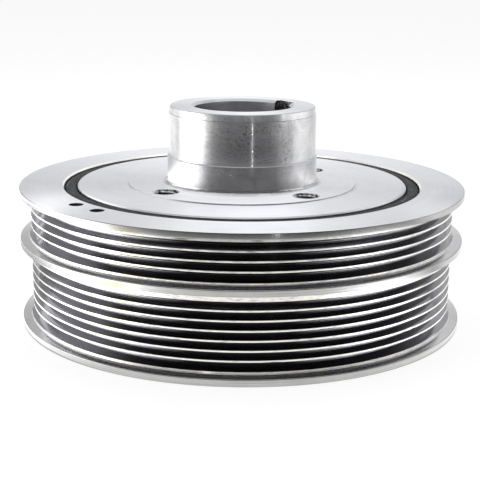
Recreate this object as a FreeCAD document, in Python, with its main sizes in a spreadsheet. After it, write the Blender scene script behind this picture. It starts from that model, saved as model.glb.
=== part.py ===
# Harmonic balancer: a hub, a rubber ring and a grooved inertia ring.
#
# All sizes are millimetres. The origin is on the shaft axis at the front face, which is the
# face that looks away from the engine, and +Z runs along the shaft towards the engine.
# "Front" is therefore the low end of the part and "back" is the high end.
import FreeCAD
import Part
import os
import Sketcher

# Driving sizes: name, value, and what the value is
SIZES = [
    ("ring_bore_radius", 70.0, "inside of the inertia ring, outside of the rubber"),
    ("ring_wall", 9.69, "wall from that bore to the groove floors"),
    ("land_rise", 0.8, "how far the plain land beside a flange stands above the ribs"),
    ("flange_height", 4.25, "how far the three flanges stand above the ribs"),
    ("front_rim_width", 2.7, "width of the front flange at its rim"),
    ("middle_rim_width", 2.4, "width of the middle flange at its rim"),
    ("back_rim_width", 2.4, "width of the back flange at its rim"),
    ("flange_flare", 0.55, "how much a flange side widens from rim to root"),
    ("rib_pitch", 3.56, "groove spacing of the belt profile"),
    ("rib_crest_width", 0.65, "flat on top of a rib"),
    ("groove_floor_width", 0.5, "flat at the bottom of a groove"),
    ("groove_half_angle", 20.0, "slope of one groove side from square, degrees"),
    ("front_groove_count", 7, "grooves of the front belt track"),
    ("back_groove_count", 4, "grooves of the back belt track"),
    ("land_width", 0.9, "plain land between an end groove and its flange"),
    ("relief_width", 2.076, "the wider land between the front track and the middle flange"),
    ("rim_chamfer", 0.4, "broken edge of each flange"),
    ("ring_bore_chamfer", 0.6, "broken edge of the ring's bore"),
    ("balance_hole_radius", 2.5, "drilled balance holes in the back face"),
    ("balance_hole_depth", 9.0, "depth of the balance holes"),
    ("balance_hole_inset", 5.3, "ring bore to the centres of the balance holes"),
    ("balance_hole_turn", 217.8, "direction of the first balance hole, degrees"),
    ("balance_hole_step", 9.7, "turn from one balance hole to the next, degrees"),
    ("rubber_thickness", 5.3, "radial thickness of the rubber"),
    ("rubber_recess", 0.9, "how far the rubber ends below the metal faces"),
    ("wave_height", 1.2, "outward wave of the rubber that stops it creeping out"),
    ("wave_length", 26.0, "length of the raised part of that wave"),
    ("wave_ramp", 5.0, "length of each slope of that wave"),
    ("hub_set_back", 1.5, "hub rim front face behind the ring's front face"),
    ("hub_rim_wall", 6.6, "thickness of the hub rim at its front edge"),
    ("cast_draft", 1.2, "how far a cast wall leans over its height"),
    ("web_thickness", 12.0, "disc that joins sleeve and rim"),
    ("web_fillet", 4.0, "cast corner between web and rim"),
    ("boss_fillet", 3.0, "cast corner between web and front boss"),
    ("hub_edge_chamfer", 0.5, "broken edges of the hub rim"),
    ("pad_margin", 7.4, "turned pad round the sleeve, beyond the tapped holes' centres"),
    ("pad_height", 0.4, "how far that pad stands up"),
    ("bore_radius", 19.0, "fit on the crankshaft nose"),
    ("bore_chamfer", 1.0, "mouth of the bore"),
    ("sleeve_wall", 10.5, "wall of the sleeve below the journal"),
    ("journal_step", 0.65, "how much smaller the seal journal is than the sleeve"),
    ("step_height", 11.1, "where the journal starts, above the back face"),
    ("sleeve_height", 30.5, "sleeve end above the back face"),
    ("lead_in_length", 2.8, "tapered start of the journal"),
    ("lead_in_drop", 0.4, "how much the taper takes off the radius"),
    ("sleeve_chamfer", 0.3, "outer edge of the sleeve end"),
    ("sleeve_fillet", 1.5, "turned corner between pad and sleeve"),
    ("boss_set_back", 22.0, "front boss behind the front face"),
    ("seat_depth", 6.0, "counterbore for the shaft bolt's washer"),
    ("seat_width", 5.0, "face that the washer bears on, outside the bore"),
    ("seat_wall", 4.5, "wall of the front boss round that counterbore"),
    ("keyway_width", 10.0, "slot for the shaft key"),
    ("keyway_depth", 2.4, "keyway floor beyond the bore wall"),
    ("keyway_turn", 32.0, "direction of the keyway, degrees"),
    ("tapped_core_radius", 4.4, "core of the M10 tapped holes"),
    ("tapped_chamfer", 0.8, "chamfered mouth of the tapped holes"),
    ("tapped_offset", 8.0, "sleeve wall to the centres of the tapped holes"),
    ("tapped_turn", 40.0, "direction of the first tapped hole, degrees"),
    ("tapped_count", 4, "tapped holes in the web"),
    ("balance_hole_count", 2, "drilled balance holes"),
    ("cut_overrun", 0.5, "how far a cutting outline runs out into the open"),
]

# Two points nearer than this are the same point
TOUCH = 0.001

# Levels and radii that several features share, written as sheet expressions
slope = "tan(sizes.groove_half_angle * 1 deg)"
half_mouth = "((sizes.rib_pitch - sizes.rib_crest_width) / 2)"
half_floor = "(sizes.groove_floor_width / 2)"
floor_radius = "(sizes.ring_bore_radius + sizes.ring_wall)"
crest_radius = f"({floor_radius} + ({half_mouth} - {half_floor}) / {slope})"
land_radius = f"({crest_radius} + sizes.land_rise)"
rim_radius = f"({crest_radius} + sizes.flange_height)"
half_land_mouth = f"({half_mouth} + sizes.land_rise * {slope})"
cut_radius = f"({land_radius} + sizes.cut_overrun)"
half_cut = f"({half_land_mouth} + sizes.cut_overrun * {slope})"

front_root = "(sizes.front_rim_width + sizes.flange_flare)"
front_groove = f"({front_root} + sizes.land_width + {half_land_mouth})"
front_last = f"({front_groove} + sizes.rib_pitch * (sizes.front_groove_count - 1))"
middle_root = f"({front_last} + {half_land_mouth} + sizes.relief_width)"
middle_front = f"({middle_root} + sizes.flange_flare)"
middle_back = f"({middle_front} + sizes.middle_rim_width)"
back_land = f"({middle_back} + sizes.flange_flare)"
back_groove = f"({back_land} + sizes.land_width + {half_land_mouth})"
back_last = f"({back_groove} + sizes.rib_pitch * (sizes.back_groove_count - 1))"
back_root = f"({back_last} + {half_land_mouth} + sizes.land_width)"
back_front = f"({back_root} + sizes.flange_flare)"
back_face = f"({back_front} + sizes.back_rim_width)"
middle = f"({back_face} / 2)"

hub_radius = "(sizes.ring_bore_radius - sizes.rubber_thickness)"
rim_inside = f"({hub_radius} - sizes.hub_rim_wall)"
sleeve_radius = "(sizes.bore_radius + sizes.sleeve_wall)"
journal_radius = f"({sleeve_radius} - sizes.journal_step)"
tapped_circle = f"({sleeve_radius} + sizes.tapped_offset)"
pad_radius = f"({tapped_circle} + sizes.pad_margin)"
seat_radius = "(sizes.bore_radius + sizes.seat_width)"
boss_radius = f"({seat_radius} + sizes.seat_wall)"
seat_face = "(sizes.boss_set_back + sizes.seat_depth)"
web_front = f"({back_face} - sizes.web_thickness)"
pad_face = f"({back_face} + sizes.pad_height)"
sleeve_end = f"({back_face} + sizes.sleeve_height)"

doc = FreeCAD.newDocument("harmonic_balancer")
sizes = doc.addObject("Spreadsheet::Sheet", "sizes")
for row, (alias, value, meaning) in enumerate(SIZES, start=1):
    sizes.set(f"A{row}", alias)
    sizes.set(f"B{row}", str(value))
    sizes.set(f"C{row}", meaning)
    sizes.setAlias(f"B{row}", alias)
doc.recompute()


def make_body(label):
    body = doc.addObject("PartDesign::Body", label)
    body.Label = label
    body.Placement = FreeCAD.Placement()
    return body


def attached_sketch(body, name, role):
    """A new sketch on one of the body's own origin planes."""
    sketch = body.newObject("Sketcher::SketchObject", name)
    plane = next(item for item in body.Origin.OriginFeatures if item.Role == role)
    sketch.AttachmentSupport = [(plane, "")]
    sketch.MapMode = "FlatFace"
    return sketch


def bind(sketch, constraint, expression):
    number = sketch.addConstraint(constraint)
    sketch.setExpression(f"Constraints[{number}]", expression)


def draw_outline(sketch, corners):
    """A closed outline whose corners are pairs of sheet expressions, across and up."""
    spots = [[sketch.evalExpression(text) for text in corner] for corner in corners]
    spots = [FreeCAD.Vector(float(across), float(up), 0) for across, up in spots]
    count = len(corners)
    for number in range(count):
        sketch.addGeometry(Part.LineSegment(spots[number], spots[(number + 1) % count]))
    for number in range(count):
        sketch.addConstraint(Sketcher.Constraint("Coincident", number, 2, (number + 1) % count, 1))
    for number, (across, up) in enumerate(corners):
        bind(sketch, Sketcher.Constraint("DistanceX", -1, 1, number, 1, spots[number].x), across)
        if up == "0":
            sketch.addConstraint(Sketcher.Constraint("PointOnObject", number, 1, -1))
        else:
            bind(sketch, Sketcher.Constraint("DistanceY", -1, 1, number, 1, spots[number].y), up)


def turned_blank(body, name, corners):
    """The solid that a lathe would leave: an outline on the XZ plane turned about Z."""
    sketch = attached_sketch(body, f"{name}_outline", "XZ_Plane")
    draw_outline(sketch, corners)
    blank = body.newObject("PartDesign::Revolution", name)
    blank.Profile = sketch
    blank.ReferenceAxis = (sketch, ["V_Axis"])
    blank.Angle = 360
    doc.recompute()
    return blank


def edges_at(feature, spots):
    """Names of the feature's full circles about Z at the given radius and height expressions."""
    wanted = [[float(feature.evalExpression(text)) for text in spot] for spot in spots]
    found = []
    for number, edge in enumerate(feature.Shape.Edges, start=1):
        if not isinstance(edge.Curve, Part.Circle):
            continue
        centre = edge.Curve.Center
        for radius, height in wanted:
            on_axis = abs(centre.x) < TOUCH and abs(centre.y) < TOUCH
            if on_axis and abs(edge.Curve.Radius - radius) < TOUCH and abs(centre.z - height) < TOUCH:
                found.append(f"Edge{number}")
    return found


def dress_edges(body, kind, name, spots, size):
    """A Fillet or Chamfer on the circles at those spots, its size bound to the sheet."""
    base = body.Tip
    feature = body.newObject(f"PartDesign::{kind}", name)
    feature.Base = (base, edges_at(base, spots))
    feature.setExpression("Radius" if kind == "Fillet" else "Size", size)
    doc.recompute()
    return feature


def pattern_in(body, kind, name, originals, axis):
    pattern = body.newObject(f"PartDesign::{kind}", name)
    pattern.Originals = originals
    if kind == "LinearPattern":
        pattern.Direction = axis
    else:
        pattern.Axis = axis
    return pattern


def removed_volume(body, feature, before):
    """Stops the build if a cut took nothing away, and gives the volume after the cut."""
    doc.recompute()
    after = feature.Shape.Volume
    if not after < before - TOUCH:
        raise RuntimeError(f"{feature.Label} cuts nothing from {body.Label}")
    return after


def raised_sketch(body, name, height, turn):
    """A sketch square to Z at that height, with its X axis turned to that direction."""
    sketch = attached_sketch(body, name, "XY_Plane")
    up = FreeCAD.Vector(0, 0, 1)
    angle = float(sketch.evalExpression(turn))
    sketch.AttachmentOffset = FreeCAD.Placement(FreeCAD.Vector(), FreeCAD.Rotation(up, angle))
    sketch.setExpression("AttachmentOffset.Base.z", height)
    sketch.setExpression("AttachmentOffset.Rotation.Angle", turn)
    return sketch


def draw_circle(sketch, distance, radius):
    """A circle on the sketch's X axis."""
    centre = FreeCAD.Vector(float(sketch.evalExpression(distance)), 0, 0)
    size = float(sketch.evalExpression(radius))
    sketch.addGeometry(Part.Circle(centre, FreeCAD.Vector(0, 0, 1), size))
    sketch.addConstraint(Sketcher.Constraint("PointOnObject", 0, 3, -1))
    bind(sketch, Sketcher.Constraint("DistanceX", -1, 1, 0, 3, centre.x), distance)
    bind(sketch, Sketcher.Constraint("Radius", 0, size), radius)


def wave_wall(radius):
    """Corners, from front to back, of the wavy wall that the rubber is bonded to."""
    crest = f"({radius} + sizes.wave_height)"
    half = "(sizes.wave_length / 2)"
    return [
        (radius, f"{middle} - {half} - sizes.wave_ramp"),
        (crest, f"{middle} - {half}"),
        (crest, f"{middle} + {half}"),
        (radius, f"{middle} + {half} + sizes.wave_ramp"),
    ]


# Inertia ring: one iron casting, turned all over, with two belt tracks between three flanges
ring = make_body("pulley_ring")
ring_bore = "sizes.ring_bore_radius"
chamfered_bore = "(sizes.ring_bore_radius + sizes.ring_bore_chamfer)"
turned_blank(ring, "ring_blank", [
    (chamfered_bore, "0"),
    (rim_radius, "0"),
    (rim_radius, "sizes.front_rim_width"),
    (land_radius, front_root),
    (land_radius, f"{front_groove} - {half_mouth}"),
    (crest_radius, f"{front_groove} - {half_mouth}"),
    (crest_radius, f"{front_last} + {half_mouth}"),
    (land_radius, f"{front_last} + {half_mouth}"),
    (land_radius, middle_root),
    (rim_radius, middle_front),
    (rim_radius, middle_back),
    (land_radius, back_land),
    (land_radius, f"{back_groove} - {half_mouth}"),
    (crest_radius, f"{back_groove} - {half_mouth}"),
    (crest_radius, f"{back_last} + {half_mouth}"),
    (land_radius, f"{back_last} + {half_mouth}"),
    (land_radius, back_root),
    (rim_radius, back_front),
    (rim_radius, back_face),
    (chamfered_bore, back_face),
    (ring_bore, f"{back_face} - sizes.ring_bore_chamfer"),
    *reversed(wave_wall(ring_bore)),
    (ring_bore, "sizes.ring_bore_chamfer"),
])
flange_sides = ["0", "sizes.front_rim_width", middle_front, middle_back, back_front, back_face]
dress_edges(ring, "Chamfer", "rim_edges", [(rim_radius, side) for side in flange_sides],
            "sizes.rim_chamfer")

# Belt grooves: one V is cut, then repeated at the rib pitch along the shaft
for track, centre, count in [
    ("front", front_groove, "sizes.front_groove_count"),
    ("back", back_groove, "sizes.back_groove_count"),
]:
    volume = ring.Tip.Shape.Volume
    outline = attached_sketch(ring, f"{track}_groove_outline", "XZ_Plane")
    draw_outline(outline, [
        (floor_radius, f"{centre} - {half_floor}"),
        (cut_radius, f"{centre} - {half_cut}"),
        (cut_radius, f"{centre} + {half_cut}"),
        (floor_radius, f"{centre} + {half_floor}"),
    ])
    groove = ring.newObject("PartDesign::Groove", f"{track}_groove")
    groove.Profile = outline
    groove.ReferenceAxis = (outline, ["V_Axis"])
    groove.Angle = 360
    volume = removed_volume(ring, groove, volume)
    grooves = pattern_in(ring, "LinearPattern", f"{track}_grooves", [groove], (outline, ["V_Axis"]))
    grooves.Mode = "Spacing"
    grooves.setExpression("Offset", "sizes.rib_pitch")
    grooves.setExpression("Occurrences", count)
    ring.Tip = grooves
    removed_volume(ring, grooves, volume)

# Balance holes: short blind drillings in the back face
volume = ring.Tip.Shape.Volume
drill_spot = raised_sketch(ring, "balance_hole_spot", back_face, "sizes.balance_hole_turn")
draw_circle(drill_spot, "sizes.ring_bore_radius + sizes.balance_hole_inset",
            "sizes.balance_hole_radius")
drilling = ring.newObject("PartDesign::Pocket", "balance_hole")
drilling.Profile = drill_spot
drilling.setExpression("Length", "sizes.balance_hole_depth")
volume = removed_volume(ring, drilling, volume)
drillings = pattern_in(ring, "PolarPattern", "balance_holes", [drilling], (drill_spot, ["N_Axis"]))
drillings.Mode = "Spacing"
drillings.setExpression("Offset", "sizes.balance_hole_step")
drillings.setExpression("Occurrences", "sizes.balance_hole_count")
ring.Tip = drillings
removed_volume(ring, drillings, volume)

# Rubber ring: fills the gap between hub and ring, and its wave keeps it from creeping out
rubber = make_body("damper_rubber")
turned_blank(rubber, "rubber_blank", [
    (hub_radius, "sizes.hub_set_back + sizes.rubber_recess"),
    (ring_bore, "sizes.hub_set_back + sizes.rubber_recess"),
    *wave_wall(ring_bore),
    (ring_bore, f"{back_face} - sizes.rubber_recess"),
    (hub_radius, f"{back_face} - sizes.rubber_recess"),
    *reversed(wave_wall(hub_radius)),
])

# Hub: one iron casting, turned where it fits: rim, web, sleeve with seal journal, front boss
hub = make_body("hub")
turned_blank(hub, "hub_blank", [
    (rim_inside, "sizes.hub_set_back"),
    (f"{hub_radius} - sizes.hub_edge_chamfer", "sizes.hub_set_back"),
    (hub_radius, "sizes.hub_set_back + sizes.hub_edge_chamfer"),
    *wave_wall(hub_radius),
    (hub_radius, f"{back_face} - sizes.hub_edge_chamfer"),
    (f"{hub_radius} - sizes.hub_edge_chamfer", back_face),
    (pad_radius, back_face),
    (pad_radius, pad_face),
    (sleeve_radius, pad_face),
    (sleeve_radius, f"{back_face} + sizes.step_height"),
    (journal_radius, f"{back_face} + sizes.step_height"),
    (journal_radius, f"{sleeve_end} - sizes.lead_in_length"),
    (f"{journal_radius} - sizes.lead_in_drop", f"{sleeve_end} - sizes.sleeve_chamfer"),
    (f"{journal_radius} - sizes.lead_in_drop - sizes.sleeve_chamfer", sleeve_end),
    ("sizes.bore_radius + sizes.bore_chamfer", sleeve_end),
    ("sizes.bore_radius", f"{sleeve_end} - sizes.bore_chamfer"),
    ("sizes.bore_radius", seat_face),
    (seat_radius, seat_face),
    (seat_radius, "sizes.boss_set_back"),
    (boss_radius, "sizes.boss_set_back"),
    (f"{boss_radius} + sizes.cast_draft", web_front),
    (f"{rim_inside} - sizes.cast_draft", web_front),
])
dress_edges(hub, "Fillet", "sleeve_corner", [(sleeve_radius, pad_face)], "sizes.sleeve_fillet")
dress_edges(hub, "Fillet", "rim_corner", [
    (f"{rim_inside} - sizes.cast_draft", web_front)], "sizes.web_fillet")
dress_edges(hub, "Fillet", "boss_corner", [
    (f"{boss_radius} + sizes.cast_draft", web_front)], "sizes.boss_fillet")

# Keyway: a slot along the whole bore, from the sleeve end to the washer seat
volume = hub.Tip.Shape.Volume
slot_outline = raised_sketch(hub, "keyway_outline", sleeve_end, "sizes.keyway_turn")
draw_outline(slot_outline, [
    ("sizes.bore_radius / 2", "-sizes.keyway_width / 2"),
    ("sizes.bore_radius + sizes.keyway_depth", "-sizes.keyway_width / 2"),
    ("sizes.bore_radius + sizes.keyway_depth", "sizes.keyway_width / 2"),
    ("sizes.bore_radius / 2", "sizes.keyway_width / 2"),
])
keyway = hub.newObject("PartDesign::Pocket", "keyway")
keyway.Profile = slot_outline
keyway.setExpression("Length", f"{sleeve_end} - {seat_face} + sizes.cut_overrun")
removed_volume(hub, keyway, volume)

# Tapped holes: drilled right through the web, chamfered at the pad
volume = hub.Tip.Shape.Volume
tap_spot = raised_sketch(hub, "tapped_hole_spot", pad_face, "sizes.tapped_turn")
draw_circle(tap_spot, tapped_circle, "sizes.tapped_core_radius")
doc.recompute()
tapped = hub.newObject("PartDesign::Hole", "tapped_hole")
tapped.Profile = tap_spot
tapped.DepthType = "ThroughAll"
tapped.HoleCutType = "Countersink"
tapped.HoleCutCustomValues = True
tapped.HoleCutCountersinkAngle = 90
tapped.setExpression("Diameter", "2 * sizes.tapped_core_radius")
tapped.setExpression("HoleCutDiameter", "2 * (sizes.tapped_core_radius + sizes.tapped_chamfer)")
volume = removed_volume(hub, tapped, volume)
tapped_holes = pattern_in(hub, "PolarPattern", "tapped_holes", [tapped], (tap_spot, ["N_Axis"]))
tapped_holes.Angle = 360
tapped_holes.setExpression("Occurrences", "sizes.tapped_count")
hub.Tip = tapped_holes
removed_volume(hub, tapped_holes, volume)

doc.recompute()
for item in doc.Objects:
    if "Invalid" in item.State or "Error" in item.State:
        raise RuntimeError(f"{item.Label} did not build")

os.makedirs("parts", exist_ok=True)
for body in [ring, rubber, hub]:
    if body.Shape.isNull() or not body.Shape.isValid() or len(body.Shape.Solids) != 1:
        raise RuntimeError(f"{body.Label} is not one sound solid")
    body.Shape.exportStep(f"parts/{body.Label}.step")
    box = body.Shape.optimalBoundingBox()
    size = f"{box.XLength:.1f} x {box.YLength:.1f} x {box.ZLength:.1f} mm"
    print(f"{body.Label}: {size}, {body.Shape.Volume / 1000:.1f} cm3")
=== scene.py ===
import math

import bpy
from mathutils import Matrix, Vector, noise


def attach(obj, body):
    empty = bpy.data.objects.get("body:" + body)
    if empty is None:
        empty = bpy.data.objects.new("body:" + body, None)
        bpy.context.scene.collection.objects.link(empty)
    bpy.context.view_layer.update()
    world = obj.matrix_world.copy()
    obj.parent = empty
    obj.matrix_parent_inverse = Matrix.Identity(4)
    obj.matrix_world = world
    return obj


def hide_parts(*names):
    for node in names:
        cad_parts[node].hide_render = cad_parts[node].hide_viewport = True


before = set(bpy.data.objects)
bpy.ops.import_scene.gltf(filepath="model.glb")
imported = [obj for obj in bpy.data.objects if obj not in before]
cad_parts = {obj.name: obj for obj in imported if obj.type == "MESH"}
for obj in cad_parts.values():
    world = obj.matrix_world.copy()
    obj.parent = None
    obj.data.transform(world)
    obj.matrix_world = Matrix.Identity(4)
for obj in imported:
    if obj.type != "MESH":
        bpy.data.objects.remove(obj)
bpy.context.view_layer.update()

mm = 0.001  # sizes are written in millimetres, Blender works in metres
fullTurn = 2 * math.pi
scene = bpy.context.scene


# Colours and nodes
noiseLow, noiseHigh = 0.3, 0.7  # nearly all of a noise texture lies between these


def linear(hexColour):
    # written in sRGB, wanted in the linear values that sockets hold
    parts = [int(hexColour[at:at + 2], 16) / 255 for at in (1, 3, 5)]
    parts = [part / 12.92 if part <= 0.04045 else ((part + 0.055) / 1.055) ** 2.4 for part in parts]
    return (*parts, 1.0)


def addNode(tree, kind, inputs=None, stops=(), **settings):
    # inputs are values or other nodes' sockets, stops are a ramp's (place, colour) pairs
    node = tree.nodes.new(kind)
    for name, value in settings.items():
        setattr(node, name, value)
    for name, value in (inputs or {}).items():
        if isinstance(value, bpy.types.NodeSocket):
            tree.links.new(value, node.inputs[name])
        else:
            node.inputs[name].default_value = value
    if stops:
        ramp = node.color_ramp.elements
        while len(ramp) < len(stops):
            ramp.new(1.0)
        for element, (place, colour) in zip(ramp, stops):
            element.position = place
            element.color = linear(colour)
    return node


def emptyMaterial(name):
    material = bpy.data.materials.new(name)
    material.use_nodes = True
    material.node_tree.nodes.clear()
    return material


def latheGrain(tree, markSpacing, markLength, radius):
    # noise coordinates as a lathe leaves its marks: quick across them, slow round the axis
    spot = addNode(tree, "ShaderNodeTexCoord").outputs["Object"]
    level = addNode(tree, "ShaderNodeVectorMath", {0: spot, 1: (1, 1, 0)}, operation="MULTIPLY")
    reach = addNode(tree, "ShaderNodeVectorMath", {0: level.outputs[0]}, operation="LENGTH")
    heading = addNode(tree, "ShaderNodeVectorMath", {0: level.outputs[0]}, operation="NORMALIZE")
    height = addNode(tree, "ShaderNodeSeparateXYZ", {0: spot})
    along = addNode(tree, "ShaderNodeMath", {0: reach.outputs["Value"], 1: height.outputs["Z"]},
                    operation="ADD")
    across = addNode(tree, "ShaderNodeMath", {0: along.outputs[0], 1: 1 / (markSpacing * mm)},
                     operation="MULTIPLY")
    step = addNode(tree, "ShaderNodeCombineXYZ", {"Z": across.outputs[0]})
    turn = addNode(tree, "ShaderNodeVectorMath", {0: heading.outputs[0], "Scale": radius / markLength},
                   operation="SCALE")
    both = addNode(tree, "ShaderNodeVectorMath", {0: turn.outputs[0], 1: step.outputs[0]}, operation="ADD")
    return both.outputs[0]


def machinedIron(name, look):
    # grey iron cut on a lathe: fine marks round the axis, and faint stains from oil and hands
    material = emptyMaterial(name)
    tree = material.node_tree
    grain = latheGrain(tree, look["markSpacing"], look["markLength"], look["radius"])
    marks = addNode(tree, "ShaderNodeTexNoise", {"Vector": grain, "Scale": 1.0, "Detail": 2.0,
                                                 "Roughness": 0.5})
    spot = addNode(tree, "ShaderNodeTexCoord").outputs["Object"]
    stains = addNode(tree, "ShaderNodeTexNoise", {"Vector": spot, "Scale": 1 / (look["stainSize"] * mm),
                                                  "Detail": 4.0, "Roughness": 0.55, "Distortion": 0.6})
    shade = addNode(tree, "ShaderNodeMath", {0: stains.outputs["Fac"], 1: 1 - look["markShare"]},
                    operation="MULTIPLY")
    shade = addNode(tree, "ShaderNodeMath", {0: marks.outputs["Fac"], 1: look["markShare"],
                                             2: shade.outputs[0]}, operation="MULTIPLY_ADD")
    colour = addNode(tree, "ShaderNodeValToRGB", {"Fac": shade.outputs[0]},
                     stops=[(0.32, look["dark"]), (0.5, look["colour"]), (0.68, look["light"])])
    colour = colour.outputs["Color"]
    if "paintedShade" in look:
        # painted shade: darker near the middle of the front and back, thinning out to the sides
        place = addNode(tree, "ShaderNodeSeparateXYZ", {0: spot})
        aside = addNode(tree, "ShaderNodeMath", {0: place.outputs["X"]}, operation="ABSOLUTE")
        full, none = look["paintedShade"]
        paintedShade = addNode(tree, "ShaderNodeMapRange", {"Value": aside.outputs[0], "From Min": full * mm,
                                                   "From Max": none * mm, "To Min": 1, "To Max": 0})
        colour = addNode(tree, "ShaderNodeMix", {0: paintedShade.outputs["Result"], 6: colour,
                                                 7: linear(look["paintedShadeColour"])}, data_type="RGBA").outputs[2]
    low, high = look["roughness"]
    rough = addNode(tree, "ShaderNodeMapRange", {"Value": shade.outputs[0], "From Min": noiseLow,
                                                 "From Max": noiseHigh, "To Min": high, "To Max": low})
    rough = rough.outputs["Result"]
    if "specks" in look:
        # flecks rubbed smooth mirror the lamps sharply, and make the edge of a reflection ragged;
        # they gather where the stains are light, and share says how far they spread
        length, share = look["specks"]
        fine = latheGrain(tree, length / 2, length, look["radius"])
        flecks = addNode(tree, "ShaderNodeTexNoise", {"Vector": fine, "Scale": 1.0, "Detail": 1.0})
        bias = addNode(tree, "ShaderNodeMath", {0: stains.outputs["Fac"], 1: 0.35,
                                                2: flecks.outputs["Fac"]}, operation="MULTIPLY_ADD")
        fleck = addNode(tree, "ShaderNodeMapRange", {"Value": bias.outputs[0], "From Min": 0.93 - share,
                                                     "From Max": 0.97 - share})
        rough = addNode(tree, "ShaderNodeMix", {0: fleck.outputs["Result"], 2: rough,
                                                3: look["speckRoughness"]}, data_type="FLOAT").outputs[0]
    bump = addNode(tree, "ShaderNodeBump", {"Height": marks.outputs["Fac"], "Strength": 1.0,
                                            "Distance": look["markDepth"] * mm})
    tangent = addNode(tree, "ShaderNodeTangent", direction_type="RADIAL", axis="Z")
    shader = addNode(tree, "ShaderNodeBsdfPrincipled", {
        "Base Color": colour, "Metallic": 1.0, "Roughness": rough,
        "Anisotropic": look["anisotropic"], "Anisotropic Rotation": 0.25,
        "Tangent": tangent.outputs[0], "Normal": bump.outputs[0]})
    addNode(tree, "ShaderNodeOutputMaterial", {"Surface": shader.outputs[0]})
    return material


# All of it is one grey iron, metallic and with the default IOR; the cut changes its colour, marks and
# roughness, and some colours also hold painted highlight or shade. Real lathe marks lie about 0.1 mm apart,
# too fine to show, so they are drawn coarser.
finishes = {
    # the flat faces: satin, with the sheen drawn out along the radius
    "turnedFaceIron": machinedIron("turnedFaceIron", {
        "colour": "#cbccd0", "light": "#cfd0d3", "dark": "#c5c6ca", "roughness": (0.38, 0.45),
        "markSpacing": 0.7, "markLength": 60, "radius": 75, "markDepth": 0.001, "markShare": 0.5,
        "stainSize": 18, "anisotropic": 0.8}),
    # the sides of the flanges: finer turned than the faces, so they mirror dimly
    "flangeSideIron": machinedIron("flangeSideIron", {
        "colour": "#cfcfd2", "light": "#d8d8da", "dark": "#c4c4c8", "roughness": (0.12, 0.2),
        "markSpacing": 0.8, "markLength": 60, "radius": 85, "markDepth": 0.0003, "markShare": 0.5,
        "stainSize": 14, "anisotropic": 0.2}),
    # the rims: as turned, clean and bright
    "turnedRimIron": machinedIron("turnedRimIron", {
        "colour": "#b8b8b7", "light": "#c2c2c1", "dark": "#acacab", "roughness": (0.13, 0.2),
        "markSpacing": 0.5, "markLength": 40, "radius": 87, "markDepth": 0.002, "markShare": 0.6,
        "stainSize": 14, "anisotropic": 0.2}),
    # rib tops: painted highlight, a base far lighter than the rest of the iron that draws narrow bright
    # lines between the cutter's passes; its touch of straw colour paints warm glints
    "ribCrestIron": machinedIron("ribCrestIron", {
        "colour": "#f6f5f2", "light": "#fdf8e6", "dark": "#d6d3cf", "roughness": (0.15, 0.28),
        "markSpacing": 0.4, "markLength": 2.5, "radius": 83, "markDepth": 0.005, "markShare": 0.7,
        "stainSize": 5, "anisotropic": 0.2}),
    # groove sides: form cut and smooth, so they mirror each other and look nearly black from the front;
    # their base, darker than the rest of the iron, adds painted shade
    "grooveIron": machinedIron("grooveIron", {
        "colour": "#a7a7aa", "light": "#b0b0b3", "dark": "#9d9da1", "roughness": (0.07, 0.12),
        "markSpacing": 0.4, "markLength": 50, "radius": 81, "markDepth": 0.001, "markShare": 0.6,
        "stainSize": 12, "anisotropic": 0.2}),
    # groove roots: bright at the sides, with painted shade in the middle of the front and back
    "grooveRootIron": machinedIron("grooveRootIron", {
        "colour": "#d8d8da", "light": "#e0e0e2", "dark": "#cccccf", "roughness": (0.12, 0.2),
        "markSpacing": 0.4, "markLength": 50, "radius": 80, "markDepth": 0.001, "markShare": 0.6,
        "stainSize": 12, "anisotropic": 0.2, "paintedShade": (18, 36), "paintedShadeColour": "#403f41"}),
    # the journal: ground, so upright bands stay sharp from side to side
    "groundJournalIron": machinedIron("groundJournalIron", {
        "colour": "#cfcfd1", "light": "#dcdcdd", "dark": "#b9b9bc", "roughness": (0.18, 0.23),
        "markSpacing": 0.6, "markLength": 20, "radius": 29, "markDepth": 0.0004, "markShare": 0.2,
        "stainSize": 9, "anisotropic": 0.75, "specks": (0.9, 0.15), "speckRoughness": 0.05}),
    # the foot of the sleeve: turned, not ground, so it is greyer
    "turnedFootIron": machinedIron("turnedFootIron", {
        "colour": "#b6b6b9", "light": "#c2c2c4", "dark": "#a6a6a9", "roughness": (0.2, 0.26),
        "markSpacing": 0.6, "markLength": 12, "radius": 29, "markDepth": 0.0005, "markShare": 0.2,
        "stainSize": 7, "anisotropic": 0.75, "specks": (0.8, 0.1), "speckRoughness": 0.08}),
    # the bore: reamed, darker with oil
    "reamedBoreIron": machinedIron("reamedBoreIron", {
        "colour": "#c8c8cc", "light": "#d6d6d9", "dark": "#b0b0b4", "roughness": (0.25, 0.4),
        "markSpacing": 0.8, "markLength": 20, "radius": 19, "markDepth": 0.006, "markShare": 0.5,
        "stainSize": 6, "anisotropic": 0.3}),
}


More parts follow.
